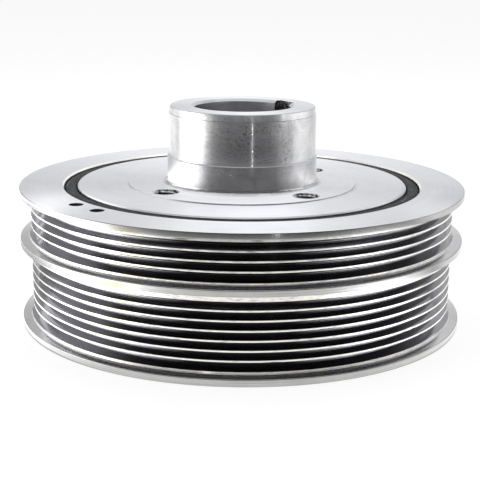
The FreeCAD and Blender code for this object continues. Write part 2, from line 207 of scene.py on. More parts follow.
def coarseIron(name, look):
    # the same iron as a sand mould, a drill or a tap leaves it: dull and pebbled
    material = emptyMaterial(name)
    tree = material.node_tree
    spot = addNode(tree, "ShaderNodeTexCoord").outputs["Object"]
    pebbles = addNode(tree, "ShaderNodeTexNoise", {"Vector": spot, "Scale": 1 / (look["grit"] * mm),
                                                   "Detail": 5.0, "Roughness": 0.6})
    patches = addNode(tree, "ShaderNodeTexNoise", {"Vector": spot, "Scale": 1 / (look["patch"] * mm),
                                                   "Detail": 3.0})
    colour = addNode(tree, "ShaderNodeValToRGB", {"Fac": patches.outputs["Fac"]},
                     stops=[(0.35, look["dark"]), (0.65, look["light"])])
    low, high = look["roughness"]
    rough = addNode(tree, "ShaderNodeMapRange", {"Value": pebbles.outputs["Fac"], "From Min": noiseLow,
                                                 "From Max": noiseHigh, "To Min": high, "To Max": low})
    bump = addNode(tree, "ShaderNodeBump", {"Height": pebbles.outputs["Fac"], "Strength": 1.0,
                                            "Distance": look["depth"] * mm})
    shader = addNode(tree, "ShaderNodeBsdfPrincipled", {
        "Base Color": colour.outputs["Color"], "Metallic": 1.0, "Roughness": rough.outputs["Result"],
        "Normal": bump.outputs[0]})
    addNode(tree, "ShaderNodeOutputMaterial", {"Surface": shader.outputs[0]})
    return material


# the front recess: sand cast and left raw, a matt mid grey with a sandy skin
finishes["sandCastIron"] = coarseIron("sandCastIron", {
    "light": "#7d7e80", "dark": "#5f6062", "roughness": (0.52, 0.72),
    "grit": 0.9, "patch": 15, "depth": 0.12})
# the balance holes: drilled, with a dark base colour that paints the shade inside them
finishes["drilledPaintedShadeIron"] = coarseIron("drilledPaintedShadeIron", {
    "light": "#5b5b5d", "dark": "#3a3a3c", "roughness": (0.5, 0.7),
    "grit": 0.5, "patch": 3, "depth": 0.03})
# threads and keyway: tapped and broached, black with cutting oil and glinting where an edge is bare
finishes["tappedIron"] = coarseIron("tappedIron", {
    "light": "#c4c4c6", "dark": "#19191b", "roughness": (0.2, 0.4),
    "grit": 0.7, "patch": 1.6, "depth": 0.03})


def mouldedRubber(name, look):
    # nitrile rubber from a steel mould: nearly black, dull and dusty, with flow streaks round the ring
    material = emptyMaterial(name)
    tree = material.node_tree
    grain = latheGrain(tree, look["streakWidth"], look["streakLength"], look["radius"])
    streaks = addNode(tree, "ShaderNodeTexNoise", {"Vector": grain, "Scale": 1.0, "Detail": 4.0,
                                                   "Roughness": 0.6})
    spot = addNode(tree, "ShaderNodeTexCoord").outputs["Object"]
    dust = addNode(tree, "ShaderNodeTexNoise", {"Vector": spot, "Scale": 1 / (look["dustSize"] * mm),
                                                "Detail": 6.0, "Roughness": 0.7})
    colour = addNode(tree, "ShaderNodeValToRGB", {"Fac": streaks.outputs["Fac"]},
                     stops=[(0.3, look["dark"]), (0.55, look["colour"]), (0.72, look["light"])])
    low, high = look["roughness"]
    rough = addNode(tree, "ShaderNodeMapRange", {"Value": dust.outputs["Fac"], "From Min": 0.35,
                                                 "From Max": 0.65, "To Min": low, "To Max": high})
    bump = addNode(tree, "ShaderNodeBump", {"Height": dust.outputs["Fac"], "Strength": 1.0,
                                            "Distance": look["dustDepth"] * mm})
    shader = addNode(tree, "ShaderNodeBsdfPrincipled", {
        "Base Color": colour.outputs["Color"], "Roughness": rough.outputs["Result"], "IOR": 1.52,
        "Specular IOR Level": look["sheen"], "Normal": bump.outputs[0]})
    addNode(tree, "ShaderNodeOutputMaterial", {"Surface": shader.outputs[0]})
    return material


finishes["mouldedRubber"] = mouldedRubber("mouldedRubber", {
    "colour": "#232527", "light": "#5c5f61", "dark": "#121416", "roughness": (0.5, 0.75),
    "streakWidth": 0.9, "streakLength": 9, "radius": 67, "dustSize": 1.2, "dustDepth": 0.08, "sheen": 0.14})
print("materials made:", len(finishes))


# Mesh tools
arcStep = 24  # degrees of an arc to one row of faces
arcShare = 0.49  # the most of a side that one arc may take, so that two arcs never meet
runOut = 1  # millimetres that a cutter sticks out of the metal


def addMesh(name, points, faces, materials):
    mesh = bpy.data.meshes.new(name)
    mesh.from_pydata(points, [], faces)
    for material in materials:
        mesh.materials.append(material)
    piece = bpy.data.objects.new(name, mesh)
    scene.collection.objects.link(piece)
    return piece


def roundedOutline(corners, rank):
    # corners are (radius, height, rounding, finish of the side that follows);
    # an arc takes whichever of its two sides comes first in rank
    outline = []
    for number, (radius, height, rounding, finish) in enumerate(corners):
        here = Vector((radius, height))
        before = Vector(corners[number - 1][:2]) - here
        after = Vector(corners[(number + 1) % len(corners)][:2]) - here
        if not rounding:
            outline.append((here, finish))
            continue
        half = before.angle(after) / 2
        reach = min(rounding / math.tan(half), before.length * arcShare, after.length * arcShare)
        size = reach * math.tan(half)
        centre = here + (before.normalized() + after.normalized()).normalized() * size / math.sin(half)
        start = here + before.normalized() * reach - centre
        end = here + after.normalized() * reach - centre
        turn = math.atan2(start.x * end.y - start.y * end.x, start.dot(end))
        steps = max(2, math.ceil(abs(turn) / math.radians(arcStep)))
        edge = min(corners[number - 1][3], finish, key=rank.index)
        for step in range(steps + 1):
            angle = turn * step / steps
            spoke = Vector((start.x * math.cos(angle) - start.y * math.sin(angle),
                            start.x * math.sin(angle) + start.y * math.cos(angle)))
            outline.append((centre + spoke, finish if step == steps else edge))
    return outline


def turned(name, corners, rank, steps, uneven=None):
    # spins the outline about Z; uneven may move a point of it by its place round the axis
    outline = roundedOutline(corners, rank)
    points = []
    for spot, finish in outline:
        for step in range(steps):
            angle = fullTurn * step / steps
            radius, height = uneven(spot.x, spot.y, angle) if uneven else spot
            points.append((radius * math.cos(angle) * mm, radius * math.sin(angle) * mm, height * mm))
    faces, wear = [], []
    for row, (spot, finish) in enumerate(outline):
        above = (row + 1) % len(outline)
        for step in range(steps):
            beside = (step + 1) % steps
            faces.append((row * steps + step, row * steps + beside,
                          above * steps + beside, above * steps + step))
            wear.append(rank.index(finish))
    piece = addMesh(name, points, faces, [finishes[finish] for finish in rank])
    piece.data.polygons.foreach_set("material_index", wear)
    return piece


def tube(name, rows, columns, finish, place, reachAt, heightAt):
    # a closed drum about a line along Z, its radius given for each row and column
    points = [place + Vector((0, 0, heightAt(0)))]
    for row in range(rows):
        for column in range(columns):
            angle = fullTurn * column / columns
            reach = reachAt(heightAt(row), angle)
            points.append(place + Vector((reach * math.cos(angle), reach * math.sin(angle), heightAt(row))))
    points.append(place + Vector((0, 0, heightAt(rows - 1))))
    faces = []
    last = len(points) - 1
    for column in range(columns):
        beside = (column + 1) % columns
        faces.append((0, 1 + beside, 1 + column))
        faces.append((last, last - columns + column, last - columns + beside))
        for row in range(rows - 1):
            low = 1 + row * columns
            high = low + columns
            faces.append((low + column, low + beside, high + beside, high + column))
    return addMesh(name, [point * mm for point in points], faces, [finishes[finish]])


def cutAway(piece, cutters):
    # cuts each cutter out of the piece, and the new faces keep the cutter's finish
    for cutter in cutters:
        cut = piece.modifiers.new("cut", "BOOLEAN")
        cut.operation = "DIFFERENCE"
        cut.solver = "EXACT"
        cut.material_mode = "TRANSFER"
        cut.object = cutter
    shaped = piece.evaluated_get(bpy.context.evaluated_depsgraph_get())
    mesh = bpy.data.meshes.new_from_object(shaped)
    piece.modifiers.clear()
    piece.data = mesh
    for cutter in cutters:
        bpy.data.objects.remove(cutter)


def shadeSmooth(piece, sharpFrom=32):
    # smooth but for edges of more than sharpFrom degrees
    mesh = piece.data
    mesh.polygons.foreach_set("use_smooth", [True] * len(mesh.polygons))
    mesh.set_sharp_from_angle(angle=math.radians(sharpFrom))
    weighted = piece.modifiers.new("flat faces stay flat", "WEIGHTED_NORMAL")
    weighted.keep_sharp = True


def standIn(piece, node):
    # the piece rides the only body and takes the place of the solid
    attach(piece, "root")
    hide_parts(node)
    mesh = piece.evaluated_get(bpy.context.evaluated_depsgraph_get()).to_mesh()
    mesh.calc_loop_triangles()
    print(piece.name, "made:", len(mesh.loop_triangles), "triangles")


# Inertia ring: change these to suit another belt layout
ring = {
    "boreRadius": 70.0, "floorRadius": 79.69, "landRise": 0.8, "flangeHeight": 4.25,
    "ribPitch": 3.56, "crestWidth": 0.65, "floorWidth": 0.5, "grooveSlope": 20.0,
    "frontRim": 2.7, "middleRim": 2.4, "backRim": 2.4, "flare": 0.55, "landWidth": 0.9,
    "reliefWidth": 2.076, "frontGrooves": 7, "backGrooves": 4,
    "rimEdge": 0.35, "boreEdge": 0.6, "boreLip": 0.1, "landEdge": 0.08, "crestEdge": 0.09,
    "floorEdge": 0.25,
    "waveHeight": 1.2, "waveLength": 26.0, "waveRamp": 5.0, "waveEdge": 1.0,
    "holeRadius": 2.5, "holeDepth": 9.0, "holePoint": 1.45, "holeTip": 0.02, "holeMouth": 0.2,
    "holeSteps": 48, "holeCircle": 75.3, "holeTurns": (217.8, 227.5), "steps": 384,
}
# Burrs: how many patches and burrs fit round the ring and up it, and how a burr grows and leans
burr = {
    "height": 0.1, "patchRound": 5, "patchUp": 0.6, "bareBelow": 0.12,
    "round": 52, "up": 1.7, "least": 0.25, "growth": 2.5, "lean": 0.5,
}
slope = math.tan(math.radians(ring["grooveSlope"]))
halfMouth = (ring["ribPitch"] - ring["crestWidth"]) / 2
halfFloor = ring["floorWidth"] / 2
halfLandMouth = halfMouth + ring["landRise"] * slope
crestRadius = ring["floorRadius"] + (halfMouth - halfFloor) / slope
landRadius = crestRadius + ring["landRise"]
rimRadius = crestRadius + ring["flangeHeight"]

frontRoot = ring["frontRim"] + ring["flare"]
frontGroove = frontRoot + ring["landWidth"] + halfLandMouth
frontLast = frontGroove + ring["ribPitch"] * (ring["frontGrooves"] - 1)
middleRoot = frontLast + halfLandMouth + ring["reliefWidth"]
middleFront = middleRoot + ring["flare"]
middleBack = middleFront + ring["middleRim"]
backLand = middleBack + ring["flare"]
backGroove = backLand + ring["landWidth"] + halfLandMouth
backLast = backGroove + ring["ribPitch"] * (ring["backGrooves"] - 1)
backRoot = backLast + halfLandMouth + ring["landWidth"]
backFront = backRoot + ring["flare"]
backFace = backFront + ring["backRim"]
middle = backFace / 2


def waveWall(radius, finish):
    # from front to back, the wavy wall that the rubber is bonded to
    crest = radius + ring["waveHeight"]
    half = ring["waveLength"] / 2
    ramp = ring["waveRamp"]
    edge = ring["waveEdge"]
    return [(radius, middle - half - ramp, edge, finish), (crest, middle - half, edge, finish),
            (crest, middle + half, edge, finish), (radius, middle + half + ramp, edge, finish)]


def beltTrack(first, count):
    # from front to back, the lands, grooves and rib tops of one belt track
    floor, crestEdge, floorEdge = ring["floorRadius"], ring["crestEdge"], ring["floorEdge"]
    corners = []
    for number in range(count):
        centre = first + number * ring["ribPitch"]
        low = (landRadius, halfLandMouth) if number == 0 else (crestRadius, halfMouth)
        high = (landRadius, halfLandMouth) if number == count - 1 else (crestRadius, halfMouth)
        corners += [
            (low[0], centre - low[1], crestEdge, "grooveIron"),
            (floor, centre - halfFloor, floorEdge, "grooveRootIron"),
            (floor, centre + halfFloor, floorEdge, "grooveIron"),
            (high[0], centre + high[1], crestEdge, "ribCrestIron"),
        ]
    return corners


def burrs(radius, height, angle):
    # the cutter drags small burrs along the rib tops and lands
    if crestRadius - 0.2 < radius < landRadius + 0.01:
        spot = Vector((math.cos(angle), math.sin(angle), 0))
        patch = noise.noise(spot * burr["patchRound"] + Vector((0, 0, height * burr["patchUp"])))
        rough = noise.noise(spot * burr["round"] + Vector((0, 0, height * burr["up"])))
        rough = max(0.0, rough - burr["least"]) * burr["growth"]
        if patch > burr["bareBelow"]:
            radius -= burr["height"] * rough
            height += burr["height"] * rough * burr["lean"]
    return radius, height


# (radius, height, rounding, finish of the side that follows)
ringOutline = [
    (ring["boreRadius"] + ring["boreEdge"], 0, ring["boreLip"], "turnedFaceIron"),
    (rimRadius, 0, ring["rimEdge"], "turnedRimIron"),
    (rimRadius, ring["frontRim"], ring["rimEdge"], "flangeSideIron"),
    (landRadius, frontRoot, ring["landEdge"], "ribCrestIron"),
    *beltTrack(frontGroove, ring["frontGrooves"]),
    (landRadius, middleRoot, ring["landEdge"], "flangeSideIron"),
    (rimRadius, middleFront, ring["rimEdge"], "turnedRimIron"),
    (rimRadius, middleBack, ring["rimEdge"], "flangeSideIron"),
    (landRadius, backLand, ring["landEdge"], "ribCrestIron"),
    *beltTrack(backGroove, ring["backGrooves"]),
    (landRadius, backRoot, ring["landEdge"], "flangeSideIron"),
    (rimRadius, backFront, ring["rimEdge"], "turnedRimIron"),
    (rimRadius, backFace, ring["rimEdge"], "turnedFaceIron"),
    # the back bore chamfer takes the rib tops' painted highlight
    (ring["boreRadius"] + ring["boreEdge"], backFace, ring["boreLip"], "ribCrestIron"),
    (ring["boreRadius"], backFace - ring["boreEdge"], ring["boreLip"], "reamedBoreIron"),
    *reversed(waveWall(ring["boreRadius"], "reamedBoreIron")),
    (ring["boreRadius"], ring["boreEdge"], ring["boreLip"], "turnedFaceIron"),
]
pulleyRing = turned("pulleyRing", ringOutline,
                    ["ribCrestIron", "turnedRimIron", "turnedFaceIron", "flangeSideIron", "reamedBoreIron",
                     "grooveRootIron", "grooveIron"],
                    ring["steps"], burrs)

drillings = []
for turn in ring["holeTurns"]:
    # a drill leaves a cone at the bottom, with hardly a flat at its tip, and the mouth is lightly broken
    angle = math.radians(turn)
    place = Vector((math.cos(angle), math.sin(angle), 0)) * ring["holeCircle"]
    bottom = backFace - ring["holeDepth"]
    mouth = ring["holeRadius"] + ring["holeMouth"]
    heights = [bottom - ring["holePoint"], bottom, backFace - ring["holeMouth"], backFace,
               backFace + runOut]
    reaches = [ring["holeTip"], ring["holeRadius"], ring["holeRadius"], mouth, mouth]
    drillings.append(tube("drilling", len(heights), ring["holeSteps"], "drilledPaintedShadeIron", place,
                          lambda height, angle: reaches[heights.index(height)],
                          lambda row: heights[row]))
cutAway(pulleyRing, drillings)
shadeSmooth(pulleyRing)
standIn(pulleyRing, "pulley_ring")


# Rubber ring: crowned between the two metal edges, with a torn lip of moulding flash
rubber = {
    "innerRadius": 64.7, "outerRadius": 70.0, "recess": 0.9, "setBack": 1.5, "steps": 384,
    "edgeDrop": 1.1, "lipInset": 0.9, "lipEdge": 0.5, "crown": 0.35, "crownEdge": 6.0,
    # the uneven skin: its height, how many swells fit round, across and down, and how fine it tears
    "wobble": 0.12, "skinDepth": 4, "swellRound": 14, "swellAcross": 1.3, "swellDown": 0.1,
    "tearScale": 3.1, "bondWidth": 0.4, "bondShare": 0.4,
}


def rubberSkin(radius, height, angle):
    # the ends of the moulding are a little uneven, and so is the flash along the ring
    if rubber["setBack"] + rubber["skinDepth"] < height < backFace - rubber["skinDepth"]:
        return radius, height
    spot = Vector((math.cos(angle) * rubber["swellRound"], math.sin(angle) * rubber["swellRound"],
                   radius * rubber["swellAcross"] + height * rubber["swellDown"]))
    swell = noise.noise(spot) * rubber["wobble"]
    tear = max(0.0, noise.noise(spot * rubber["tearScale"])) * rubber["wobble"]
    bond = rubber["bondWidth"]
    free = rubber["innerRadius"] + bond < radius < rubber["outerRadius"] - bond
    sign = 1 if height > middle else -1
    return radius, height + sign * (swell + tear) * (1.0 if free else rubber["bondShare"])


inner, outer = rubber["innerRadius"], rubber["outerRadius"]
backLip = backFace - rubber["recess"]
frontLip = rubber["setBack"] + rubber["recess"]


def lip(face, outwards):
    # from the hub to the ring, one end of the rubber: edge, rounding, crown, rounding, edge
    return [(inner, face - outwards * rubber["edgeDrop"], 0, "mouldedRubber"),
            (inner + rubber["lipInset"], face, rubber["lipEdge"], "mouldedRubber"),
            ((inner + outer) / 2, face + outwards * rubber["crown"], rubber["crownEdge"], "mouldedRubber"),
            (outer - rubber["lipInset"], face, rubber["lipEdge"], "mouldedRubber"),
            (outer, face - outwards * rubber["edgeDrop"], 0, "mouldedRubber")]


rubberOutline = [
    *lip(frontLip, -1),
    *waveWall(outer, "mouldedRubber"),
    *reversed(lip(backLip, 1)),
    *reversed(waveWall(inner, "mouldedRubber")),
]
damperRubber = turned("damperRubber", rubberOutline, ["mouldedRubber"], rubber["steps"], rubberSkin)
shadeSmooth(damperRubber, 40)
standIn(damperRubber, "damper_rubber")


# Hub: one iron casting with a turned back face, a ground sleeve and four tapped holes
hub = {
    "rimRadius": 64.7, "rimInside": 58.1, "draft": 1.2, "setBack": 1.5, "rimEdge": 0.5,
    "webThickness": 12.0, "webFillet": 4.0, "padRadius": 44.9, "padHeight": 0.4, "padEdge": 0.05,
    "sleeveRadius": 29.5, "sleeveHeight": 30.5, "sleeveEdge": 0.3, "sleeveFillet": 1.9,
    "journalRadius": 28.85, "stepHeight": 11.1, "stepEdge": 0.25, "stepLip": 0.08, "stepRoot": 0.05,
    "leadInRadius": 28.45, "leadIn": 2.8, "leadInTaper": 0.07, "leadInStart": 0.1,
    "boreRadius": 19.0, "boreEdge": 1.0, "turnedLip": 0.1, "steps": 320,
    "seatFace": 28.0, "seatRadius": 24.0, "seatLip": 0.15, "seatCorner": 0.4,
    "bossFace": 22.0, "bossRadius": 28.5, "bossFillet": 3.0, "bossLip": 0.3, "castLip": 0.6,
    "keyWidth": 10.0, "keyFloor": 21.4, "keyTurn": 32.0, "keyCorner": 0.4, "keyCornerSteps": 4,
    "holeCircle": 37.5, "holeTurns": (40, 130, 220, 310), "coreRadius": 4.4, "threadRadius": 5.0,
    "mouthRadius": 5.2, "threadPitch": 1.25, "rowsPerThread": 10, "holeSteps": 48,
    # the chatter in the fillet and the swells of the cast walls: height, and how fine they are
    "chatter": 0.09, "chatterRound": 30, "castSwell": 0.12, "castScale": 0.45,
}
webFront = backFace - hub["webThickness"]
padFace = backFace + hub["padHeight"]
sleeveEnd = backFace + hub["sleeveHeight"]
stepFace = backFace + hub["stepHeight"]
leadInFoot = sleeveEnd - hub["leadIn"]
hubOutline = [
    (hub["rimInside"], hub["setBack"], hub["rimEdge"], "turnedFaceIron"),
    (hub["rimRadius"] - hub["rimEdge"], hub["setBack"], hub["turnedLip"], "turnedFaceIron"),
    (hub["rimRadius"], hub["setBack"] + hub["rimEdge"], hub["turnedLip"], "reamedBoreIron"),
    *waveWall(hub["rimRadius"], "reamedBoreIron"),
    (hub["rimRadius"], backFace - hub["rimEdge"], hub["turnedLip"], "turnedFaceIron"),
    (hub["rimRadius"] - hub["rimEdge"], backFace, hub["turnedLip"], "turnedFaceIron"),
    (hub["padRadius"], backFace, hub["padEdge"], "turnedFootIron"),
    (hub["padRadius"], padFace, hub["padEdge"], "turnedFaceIron"),
    (hub["sleeveRadius"], padFace, hub["sleeveFillet"], "turnedFootIron"),
    (hub["sleeveRadius"], stepFace - hub["stepEdge"], hub["stepLip"], "turnedFaceIron"),
    (hub["sleeveRadius"] - hub["stepEdge"], stepFace, hub["stepLip"], "turnedFaceIron"),
    (hub["journalRadius"], stepFace, hub["stepRoot"], "groundJournalIron"),
    (hub["journalRadius"], leadInFoot, 0, "groundJournalIron"),
    (hub["leadInRadius"] + hub["leadInTaper"], leadInFoot + hub["leadInStart"], 0, "groundJournalIron"),
    (hub["leadInRadius"], sleeveEnd - hub["sleeveEdge"], hub["turnedLip"], "turnedFaceIron"),
    (hub["leadInRadius"] - hub["sleeveEdge"], sleeveEnd, hub["turnedLip"], "turnedFaceIron"),
    (hub["boreRadius"] + hub["boreEdge"], sleeveEnd, hub["turnedLip"], "turnedFaceIron"),
    (hub["boreRadius"], sleeveEnd - hub["boreEdge"], hub["turnedLip"], "reamedBoreIron"),
    (hub["boreRadius"], hub["seatFace"], hub["seatLip"], "turnedFaceIron"),
    (hub["seatRadius"], hub["seatFace"], hub["seatCorner"], "reamedBoreIron"),
    (hub["seatRadius"], hub["bossFace"], hub["bossLip"], "turnedFaceIron"),
    (hub["bossRadius"], hub["bossFace"], hub["castLip"], "sandCastIron"),
    (hub["bossRadius"] + hub["draft"], webFront, hub["bossFillet"], "sandCastIron"),
    (hub["rimInside"] - hub["draft"], webFront, hub["webFillet"], "sandCastIron"),
]


def hubSkin(radius, height, angle):
    # the cutter chattered in the fillet, and the sand-cast walls of the front recess are uneven
    fillet = hub["sleeveFillet"]
    inFillet = hub["sleeveRadius"] < radius < hub["sleeveRadius"] + fillet - 0.3
    if inFillet and padFace + 0.15 < height < padFace + fillet - 0.1:
        spot = Vector((math.cos(angle), math.sin(angle), 0)) * hub["chatterRound"]
        rattle = noise.noise(spot) * hub["chatter"]
        return radius + rattle, height + rattle
    inRecess = hub["bossRadius"] + 0.5 < radius < hub["rimInside"] + 0.1
    if inRecess and hub["setBack"] + 1 < height < webFront + 0.2:
        spot = Vector((math.cos(angle) * radius, math.sin(angle) * radius, height)) * hub["castScale"]
        swell = noise.noise(spot) * hub["castSwell"]
        return radius + swell, height + swell
    return radius, height


hubCasting = turned("hubCasting", hubOutline,
                    ["turnedFootIron", "groundJournalIron", "turnedFaceIron", "reamedBoreIron",
                     "sandCastIron"],
                    hub["steps"], hubSkin)


def threadReach(height, angle):
    # slanted flanks with narrow flats, one start, right-handed; chamfered at both mouths
    turns = height / hub["threadPitch"] - angle / fullTurn
    wave = 1 - abs(2 * (turns % 1) - 1)
    share = min(1.0, max(0.0, 1.35 * wave - 0.15))  # clipped, which leaves flats on top and at the root
    reach = hub["coreRadius"] + (hub["threadRadius"] - hub["coreRadius"]) * share
    mouth = max(hub["mouthRadius"] - max(0.0, padFace - height),
                hub["mouthRadius"] - max(0.0, height - webFront))
    return max(reach, min(mouth, hub["mouthRadius"]))


taps = []
threadRow = hub["threadPitch"] / hub["rowsPerThread"]
threadRows = math.ceil((padFace + runOut - webFront + runOut) / threadRow)
for turn in hub["holeTurns"]:
    angle = math.radians(turn)
    place = Vector((math.cos(angle), math.sin(angle), 0)) * hub["holeCircle"]
    taps.append(tube("tap", threadRows, hub["holeSteps"], "tappedIron", place, threadReach,
                     lambda row: webFront - runOut + row * threadRow))

# the keyway is broached through the whole bore; the broach starts well inside the bore's open middle
halfKey = hub["keyWidth"] / 2
corner = hub["keyCorner"]
broachInside = 10
keySection = [(broachInside, -halfKey)]
cornerSteps = range(hub["keyCornerSteps"] + 1)
for side, steps in ((-1, cornerSteps), (1, reversed(cornerSteps))):
    for step in steps:
        angle = math.radians(90 * step / hub["keyCornerSteps"])
        keySection.append((hub["keyFloor"] - corner + corner * math.sin(angle),
                           side * (halfKey - corner + corner * math.cos(angle))))
keySection.append((broachInside, halfKey))
keyPoints = []
keyHeights = (hub["seatFace"] - 0.001, sleeveEnd + runOut)  # just past the seat, to leave no skin there
keyTurn = Matrix.Rotation(math.radians(hub["keyTurn"]), 4, "Z")
for height in keyHeights:
    keyPoints += [keyTurn @ Vector((across, side, height)) * mm for across, side in keySection]
count = len(keySection)
keyFaces = [tuple(range(count - 1, -1, -1)), tuple(range(count, 2 * count))]
keyFaces += [(at, (at + 1) % count, count + (at + 1) % count, count + at) for at in range(count)]
broach = addMesh("broach", keyPoints, keyFaces, [finishes["tappedIron"]])

cutAway(hubCasting, [*taps, broach])
shadeSmooth(hubCasting)
standIn(hubCasting, "hub")


# Camera: the photograph's own place, seen a little from above through a long lens
lens = {  # millimetres and degrees, and the shift in widths of the picture
    "place": (0.0, -456.7, 143.5), "tilt": 14.02, "roll": 0.586,
    "focal": 87.66, "sensor": 36, "shift": -1.3 / 480,
}
cameraData = bpy.data.cameras.new("photoCamera")
cameraData.sensor_width = lens["sensor"]
cameraData.lens = lens["focal"]
cameraData.shift_x = lens["shift"]
cameraData.clip_start = 0.01
photoCamera = bpy.data.objects.new("photoCamera", cameraData)
scene.collection.objects.link(photoCamera)
photoCamera.matrix_world = (Matrix.Translation(Vector(lens["place"]) * mm)
                            @ Matrix.Rotation(math.radians(90 - lens["tilt"]), 4, "X")
                            @ Matrix.Rotation(math.radians(lens["roll"]), 4, "Z"))
scene.camera = photoCamera
print("camera placed:", lens["focal"], "mm lens")


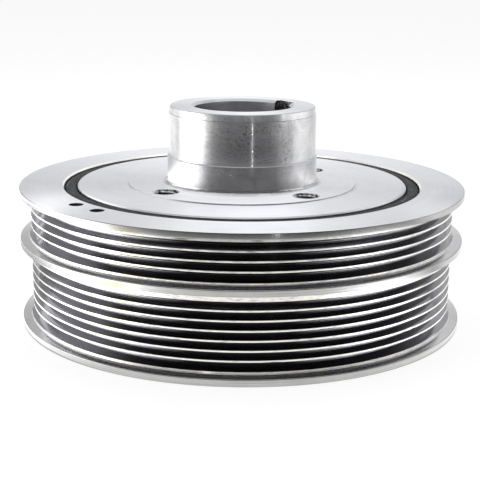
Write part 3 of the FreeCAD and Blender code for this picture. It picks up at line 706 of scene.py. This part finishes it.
# Studio: a white floor, a white room, soft lamps, and cards that only reflections see.
# These levels light both cards that the rib tops mirror.
tableLevels = [
    (-180, 0.8), (-125, 0.7), (-100, 0.8), (-94, 1.1), (-84, 1.5), (-76, 3.0), (-66, 5.5),
    (-54, 4.8), (-45, 3.2), (-37, 1.9), (-30, 1.3), (-18, 1.05), (20, 0.95), (30, 1.1), (37, 1.5),
    (44, 2.2), (54, 3.0), (66, 2.6), (78, 1.3), (85, 0.8), (90, 0.7), (97, 1.2), (126, 1.2),
    (150, 0.9), (180, 0.8)]
studio = {
    "floorColour": "#e8e8e8", "floorGlow": 0.8, "floorShade": "#a2a2a2", "floorSize": 8.0,
    "roomLevel": 0.5,
    "lamps": [  # name, place in metres, size in metres, radiance
        ("leftSoftbox", (-0.85, -0.25, 0.65), 0.7, 1.55),
        ("topSoftbox", (0.1, 0.35, 1.0), 0.8, 1.4),
        ("rightSoftbox", (0.9, -0.1, 0.6), 0.6, 1.0),
    ],
    # Each card runs round the object between two edges, given as distance and height in millimetres,
    # and its light is given as (direction, level) pairs: 0 is the camera's side, 90 its right.
    "cards": [
        ("innerTable", (87.8, 0.5), (108, 0.5), [
            (-180, 1.2), (-120, 1.8), (-90, 2.2), (-60, 2.0), (-30, 1.1), (0, 0.95), (30, 1.0),
            (60, 1.4), (120, 1.4), (180, 1.2)]),
        ("nearTable", (108, 0.5), (200, 0.5), tableLevels),
        ("rimTable", (200, 0.5), (224, 0.5), [
            (-180, 1.0), (-150, 1.8), (-125, 3.0), (-90, 5.0), (-66, 5.5), (-54, 4.8), (-45, 3.2),
            (-37, 1.9), (-30, 1.3), (-18, 1.05), (20, 0.95), (30, 1.0), (37, 0.95), (54, 0.92),
            (90, 1.0), (104, 1.15), (140, 1.1), (180, 1.0)]),
        ("upperTable", (224, 0.5), (262, 0.5), tableLevels),
        ("topRimTable", (284, 0.6), (314, 0.6), [
            (-180, 1.0), (-150, 2.0), (-118, 3.0), (-98, 4.0), (-72, 4.2), (-62, 3.2), (-55, 1.7),
            (-48, 0.7), (-40, 0.3), (-30, 0.15), (0, 0.08), (30, 0.1), (46, 0.14), (54, 0.22),
            (60, 0.3), (74, 0.4), (81, 0.6), (88, 1.0), (98, 1.2), (140, 1.1), (180, 1.0)]),
        ("farTable", (262, 0.5), (600, 0.5), [
            (-180, 1.0), (-160, 1.3), (-140, 1.4), (-127, 1.3), (-118, 0.9), (-109, 1.3),
            (-103, 2.4), (-97, 3.8), (-90, 4.0), (-80, 3.8), (-70, 3.0), (-62, 1.5), (-55, 0.6),
            (-46, 0.3), (-34, 0.17), (-18, 0.1), (0, 0.08), (30, 0.1), (46, 0.14), (54, 0.22),
            (60, 0.28), (74, 0.3), (81, 0.5), (88, 1.0), (98, 1.2), (110, 1.05), (125, 0.9),
            (150, 0.95), (180, 0.8)]),
        ("lowWall", (600, 0.5), (600, 75), [
            (-180, 0.8), (-140, 1.0), (-118, 1.1), (-106, 2.0), (-98, 4.0), (-78, 4.5), (-64, 3.5),
            (-54, 1.6), (-46, 0.6), (-38, 0.3), (-30, 0.15), (0, 0.1), (40, 0.12), (50, 0.3),
            (60, 0.7), (78, 1.2), (110, 1.5), (130, 0.9), (180, 0.8)]),
        ("bandWall", (600, 75), (600, 130), [
            (-180, 1.0), (-150, 0.8), (-125, 1.6), (-105, 2.4), (-82, 2.4), (-65, 0.6), (-58, 0.25),
            (-50, 0.08), (0, 0.04), (50, 0.06), (75, 0.14), (92, 0.3), (110, 0.8), (125, 0.8),
            (180, 1.0)]),
        ("middleWall", (600, 130), (600, 190), [
            (-180, 1.0), (-165, 0.8), (-150, 0.5), (-125, 1.3), (-105, 2.4), (-82, 2.4), (-65, 0.6),
            (-58, 0.25), (-50, 0.08), (0, 0.03), (50, 0.04), (73, 0.1), (85, 0.22), (95, 0.4),
            (110, 0.8), (125, 0.65), (150, 0.6), (165, 0.9), (180, 1.0)]),
        ("upperWall", (600, 190), (600, 300), [
            (-180, 1.2), (-165, 0.8), (-150, 0.5), (-125, 0.9), (-105, 1.8), (-82, 1.8), (-65, 0.5),
            (-58, 0.2), (-50, 0.08), (-20, 0.04), (30, 0.04), (58, 0.05), (75, 0.1), (95, 0.2),
            (110, 0.4), (130, 0.6), (150, 0.7), (165, 1.0), (180, 1.2)]),
        ("highWall", (600, 300), (600, 1000), [
            (-180, 1.7), (-155, 1.0), (-125, 0.7), (-95, 0.5), (-75, 0.25), (-58, 0.1), (-40, 0.03),
            (0, 0.015), (40, 0.03), (58, 0.05), (75, 0.15), (95, 0.6), (120, 0.8), (155, 1.1),
            (180, 1.7)]),
        ("leadInCollar", (100, 77), (100, 97), [
            (-125, 1.4), (-112, 2.6), (-64, 3.0), (-60, 1.3), (-55, 0.7), (-46, 0.55), (-30, 0.48),
            (50, 0.48), (54, 1.0), (57, 1.9), (92, 2.0), (104, 1.3), (125, 1.2)]),
        ("ceiling", (0, 1000), (600, 1000), [(-180, 1.3), (180, 1.3)]),
        # painted reflections: these two glowing cards hug the sleeve and the hub face, so the face and the
        # sleeve foot mirror their set levels instead of each other
        ("sleevePaintedReflection", (30.3, 54.3), (30.3, 84.3), [
            (-180, 1.0), (-90, 1.0), (-45, 1.5), (45, 1.5), (90, 1.2), (180, 1.0)]),
        ("facePaintedReflection", (64, 54.6), (32, 54.6), [
            (-180, 1.0), (-118, 0.9), (-108, 1.1), (-100, 1.8), (-92, 3.2), (-74, 5.0), (-65, 4.6),
            (-59, 3.8), (-53, 2.7), (-47, 1.6), (-41, 0.7), (-36, 0.36), (-30, 0.3), (36, 0.3),
            (44, 0.46), (50, 0.6), (56, 0.8), (62, 1.1), (68, 1.7), (74, 1.9), (81, 1.6), (88, 1.2),
            (96, 1.0), (104, 0.8), (113, 1.0), (180, 1.0)]),
        ("glint", (590, 0.8), (320, 0.8), [(14.4, 6.0), (15.4, 6.0)]),
    ],
    "cardStep": 0.4,  # degrees from one column of a card to the next
    "clearBehind": ["facePaintedReflection", "sleevePaintedReflection"],
    # the warm rim of a lamp, in patches: where on which card, and how bright and how yellow at most
    "warmCards": {"nearTable": (-66, -42), "upperTable": (-64, -38)},
    "warmest": 1.4, "lessGreen": 0.15, "lessBlue": 0.7,
    "patchBase": 0.4, "patchGain": 1.6, "patchTurn": 0.15, "patchOut": 0.05,
}


def glowMaterial(name):
    # clear from behind, so a card may lie close over a face and light only what stands above it; there it
    # paints the reflection of what it covers
    material = emptyMaterial(name)
    tree = material.node_tree
    level = addNode(tree, "ShaderNodeAttribute", attribute_name="level")
    glow = addNode(tree, "ShaderNodeEmission", {"Color": level.outputs["Color"]})
    if name in studio["clearBehind"]:
        side = addNode(tree, "ShaderNodeNewGeometry")
        clear = addNode(tree, "ShaderNodeBsdfTransparent")
        glow = addNode(tree, "ShaderNodeMixShader", {0: side.outputs["Backfacing"], 1: glow.outputs[0],
                                                     2: clear.outputs[0]})
    addNode(tree, "ShaderNodeOutputMaterial", {"Surface": glow.outputs[0]})
    return material


def warmth(name, direction, distance):
    # from 0 to 1, shows here and there along the rib tops
    if name not in studio["warmCards"]:
        return 0.0
    first, last = studio["warmCards"][name]
    inside = 1 - abs(2 * (direction - first) / (last - first) - 1)
    patch = noise.noise(Vector((direction * studio["patchTurn"], distance * studio["patchOut"], 0.5)))
    patch = studio["patchBase"] + studio["patchGain"] * patch
    return min(1.0, max(0.0, 2 * inside)) * min(1.0, max(0.0, patch))


def reflector(name, lowEdge, highEdge, levels):
    # a card's level is read between its pairs, column by column
    step = studio["cardStep"]
    columns = [levels[0][0] + number * step
               for number in range(int((levels[-1][0] - levels[0][0]) / step) + 1)]
    points, shades = [], []
    for direction in columns:
        after = next(at for at in range(1, len(levels)) if levels[at][0] >= direction - 0.001)
        (lowTurn, lowLevel), (highTurn, highLevel) = levels[after - 1], levels[after]
        level = lowLevel + (highLevel - lowLevel) * (direction - lowTurn) / (highTurn - lowTurn)
        angle = math.radians(direction)
        for distance, height in (lowEdge, highEdge):
            points.append((distance * math.sin(angle) * mm, -distance * math.cos(angle) * mm, height * mm))
            warm = warmth(name, direction, distance)
            shown = level + warm * (min(level, studio["warmest"]) - level)
            shades.append((shown, shown * (1 - studio["lessGreen"] * warm),
                           shown * (1 - studio["lessBlue"] * warm), 1.0))
    faces = [(2 * at, 2 * at + 2, 2 * at + 3, 2 * at + 1) for at in range(len(columns) - 1)]
    card = addMesh(name, points, faces, [glowMaterial(name)])
    shadeLayer = card.data.color_attributes.new("level", "FLOAT_COLOR", "POINT")
    for item, shade in zip(shadeLayer.data, shades):
        item.color = shade
    card.visible_camera = card.visible_diffuse = card.visible_shadow = False
    card.visible_transmission = card.visible_volume_scatter = False


for card in studio["cards"]:
    reflector(*card)

for name, place, size, radiance in studio["lamps"]:
    lampData = bpy.data.lights.new(name, "AREA")
    lampData.shape = "DISK"
    lampData.size = size
    lampData.energy = radiance * math.pi * math.pi * size * size / 4  # watts: pi x area x radiance
    lamp = bpy.data.objects.new(name, lampData)
    scene.collection.objects.link(lamp)
    lamp.location = place
    lamp.rotation_euler = Vector(place).to_track_quat("Z", "Y").to_euler()


def lookedAt(tree):
    # 1 where the camera sees a thing, straight or in metal or glass, and 0 where it lights the object
    path = addNode(tree, "ShaderNodeLightPath")
    seen = addNode(tree, "ShaderNodeMath", {0: path.outputs["Is Camera Ray"],
                                            1: path.outputs["Is Glossy Ray"]}, operation="MAXIMUM")
    seen = addNode(tree, "ShaderNodeMath", {0: seen.outputs[0], 1: path.outputs["Is Transmission Ray"]},
                   operation="MAXIMUM")
    return seen.outputs[0]


# matt white paper, seen a little glowing so that it stays white round the object's shadow
floorMaterial = emptyMaterial("whitePaperFloor")
tree = floorMaterial.node_tree
paper = addNode(tree, "ShaderNodeBsdfDiffuse", {"Color": linear(studio["floorColour"])})
shaded = addNode(tree, "ShaderNodeBsdfDiffuse", {"Color": linear(studio["floorShade"])})
glow = addNode(tree, "ShaderNodeEmission", {"Strength": studio["floorGlow"]})
white = addNode(tree, "ShaderNodeAddShader", {0: shaded.outputs[0], 1: glow.outputs[0]})
mixed = addNode(tree, "ShaderNodeMixShader", {0: lookedAt(tree), 1: paper.outputs[0], 2: white.outputs[0]})
addNode(tree, "ShaderNodeOutputMaterial", {"Surface": mixed.outputs[0]})
half = studio["floorSize"] / 2
floor = addMesh("floor", [(-half, -half, 0), (half, -half, 0), (half, half, 0), (-half, half, 0)],
                [(0, 1, 2, 3)], [floorMaterial])

room = bpy.data.worlds.new("whiteRoom")
scene.world = room
room.use_nodes = True
tree = room.node_tree
tree.nodes.clear()
level = addNode(tree, "ShaderNodeMapRange", {"Value": lookedAt(tree), "To Min": studio["roomLevel"],
                                             "To Max": 1.0})
light = addNode(tree, "ShaderNodeBackground", {"Strength": level.outputs["Result"]})
addNode(tree, "ShaderNodeOutputWorld", {"Surface": light.outputs[0]})
scene.view_settings.view_transform = "Standard"
print("studio made:", len(studio["lamps"]), "lamps and", len(studio["cards"]), "cards")
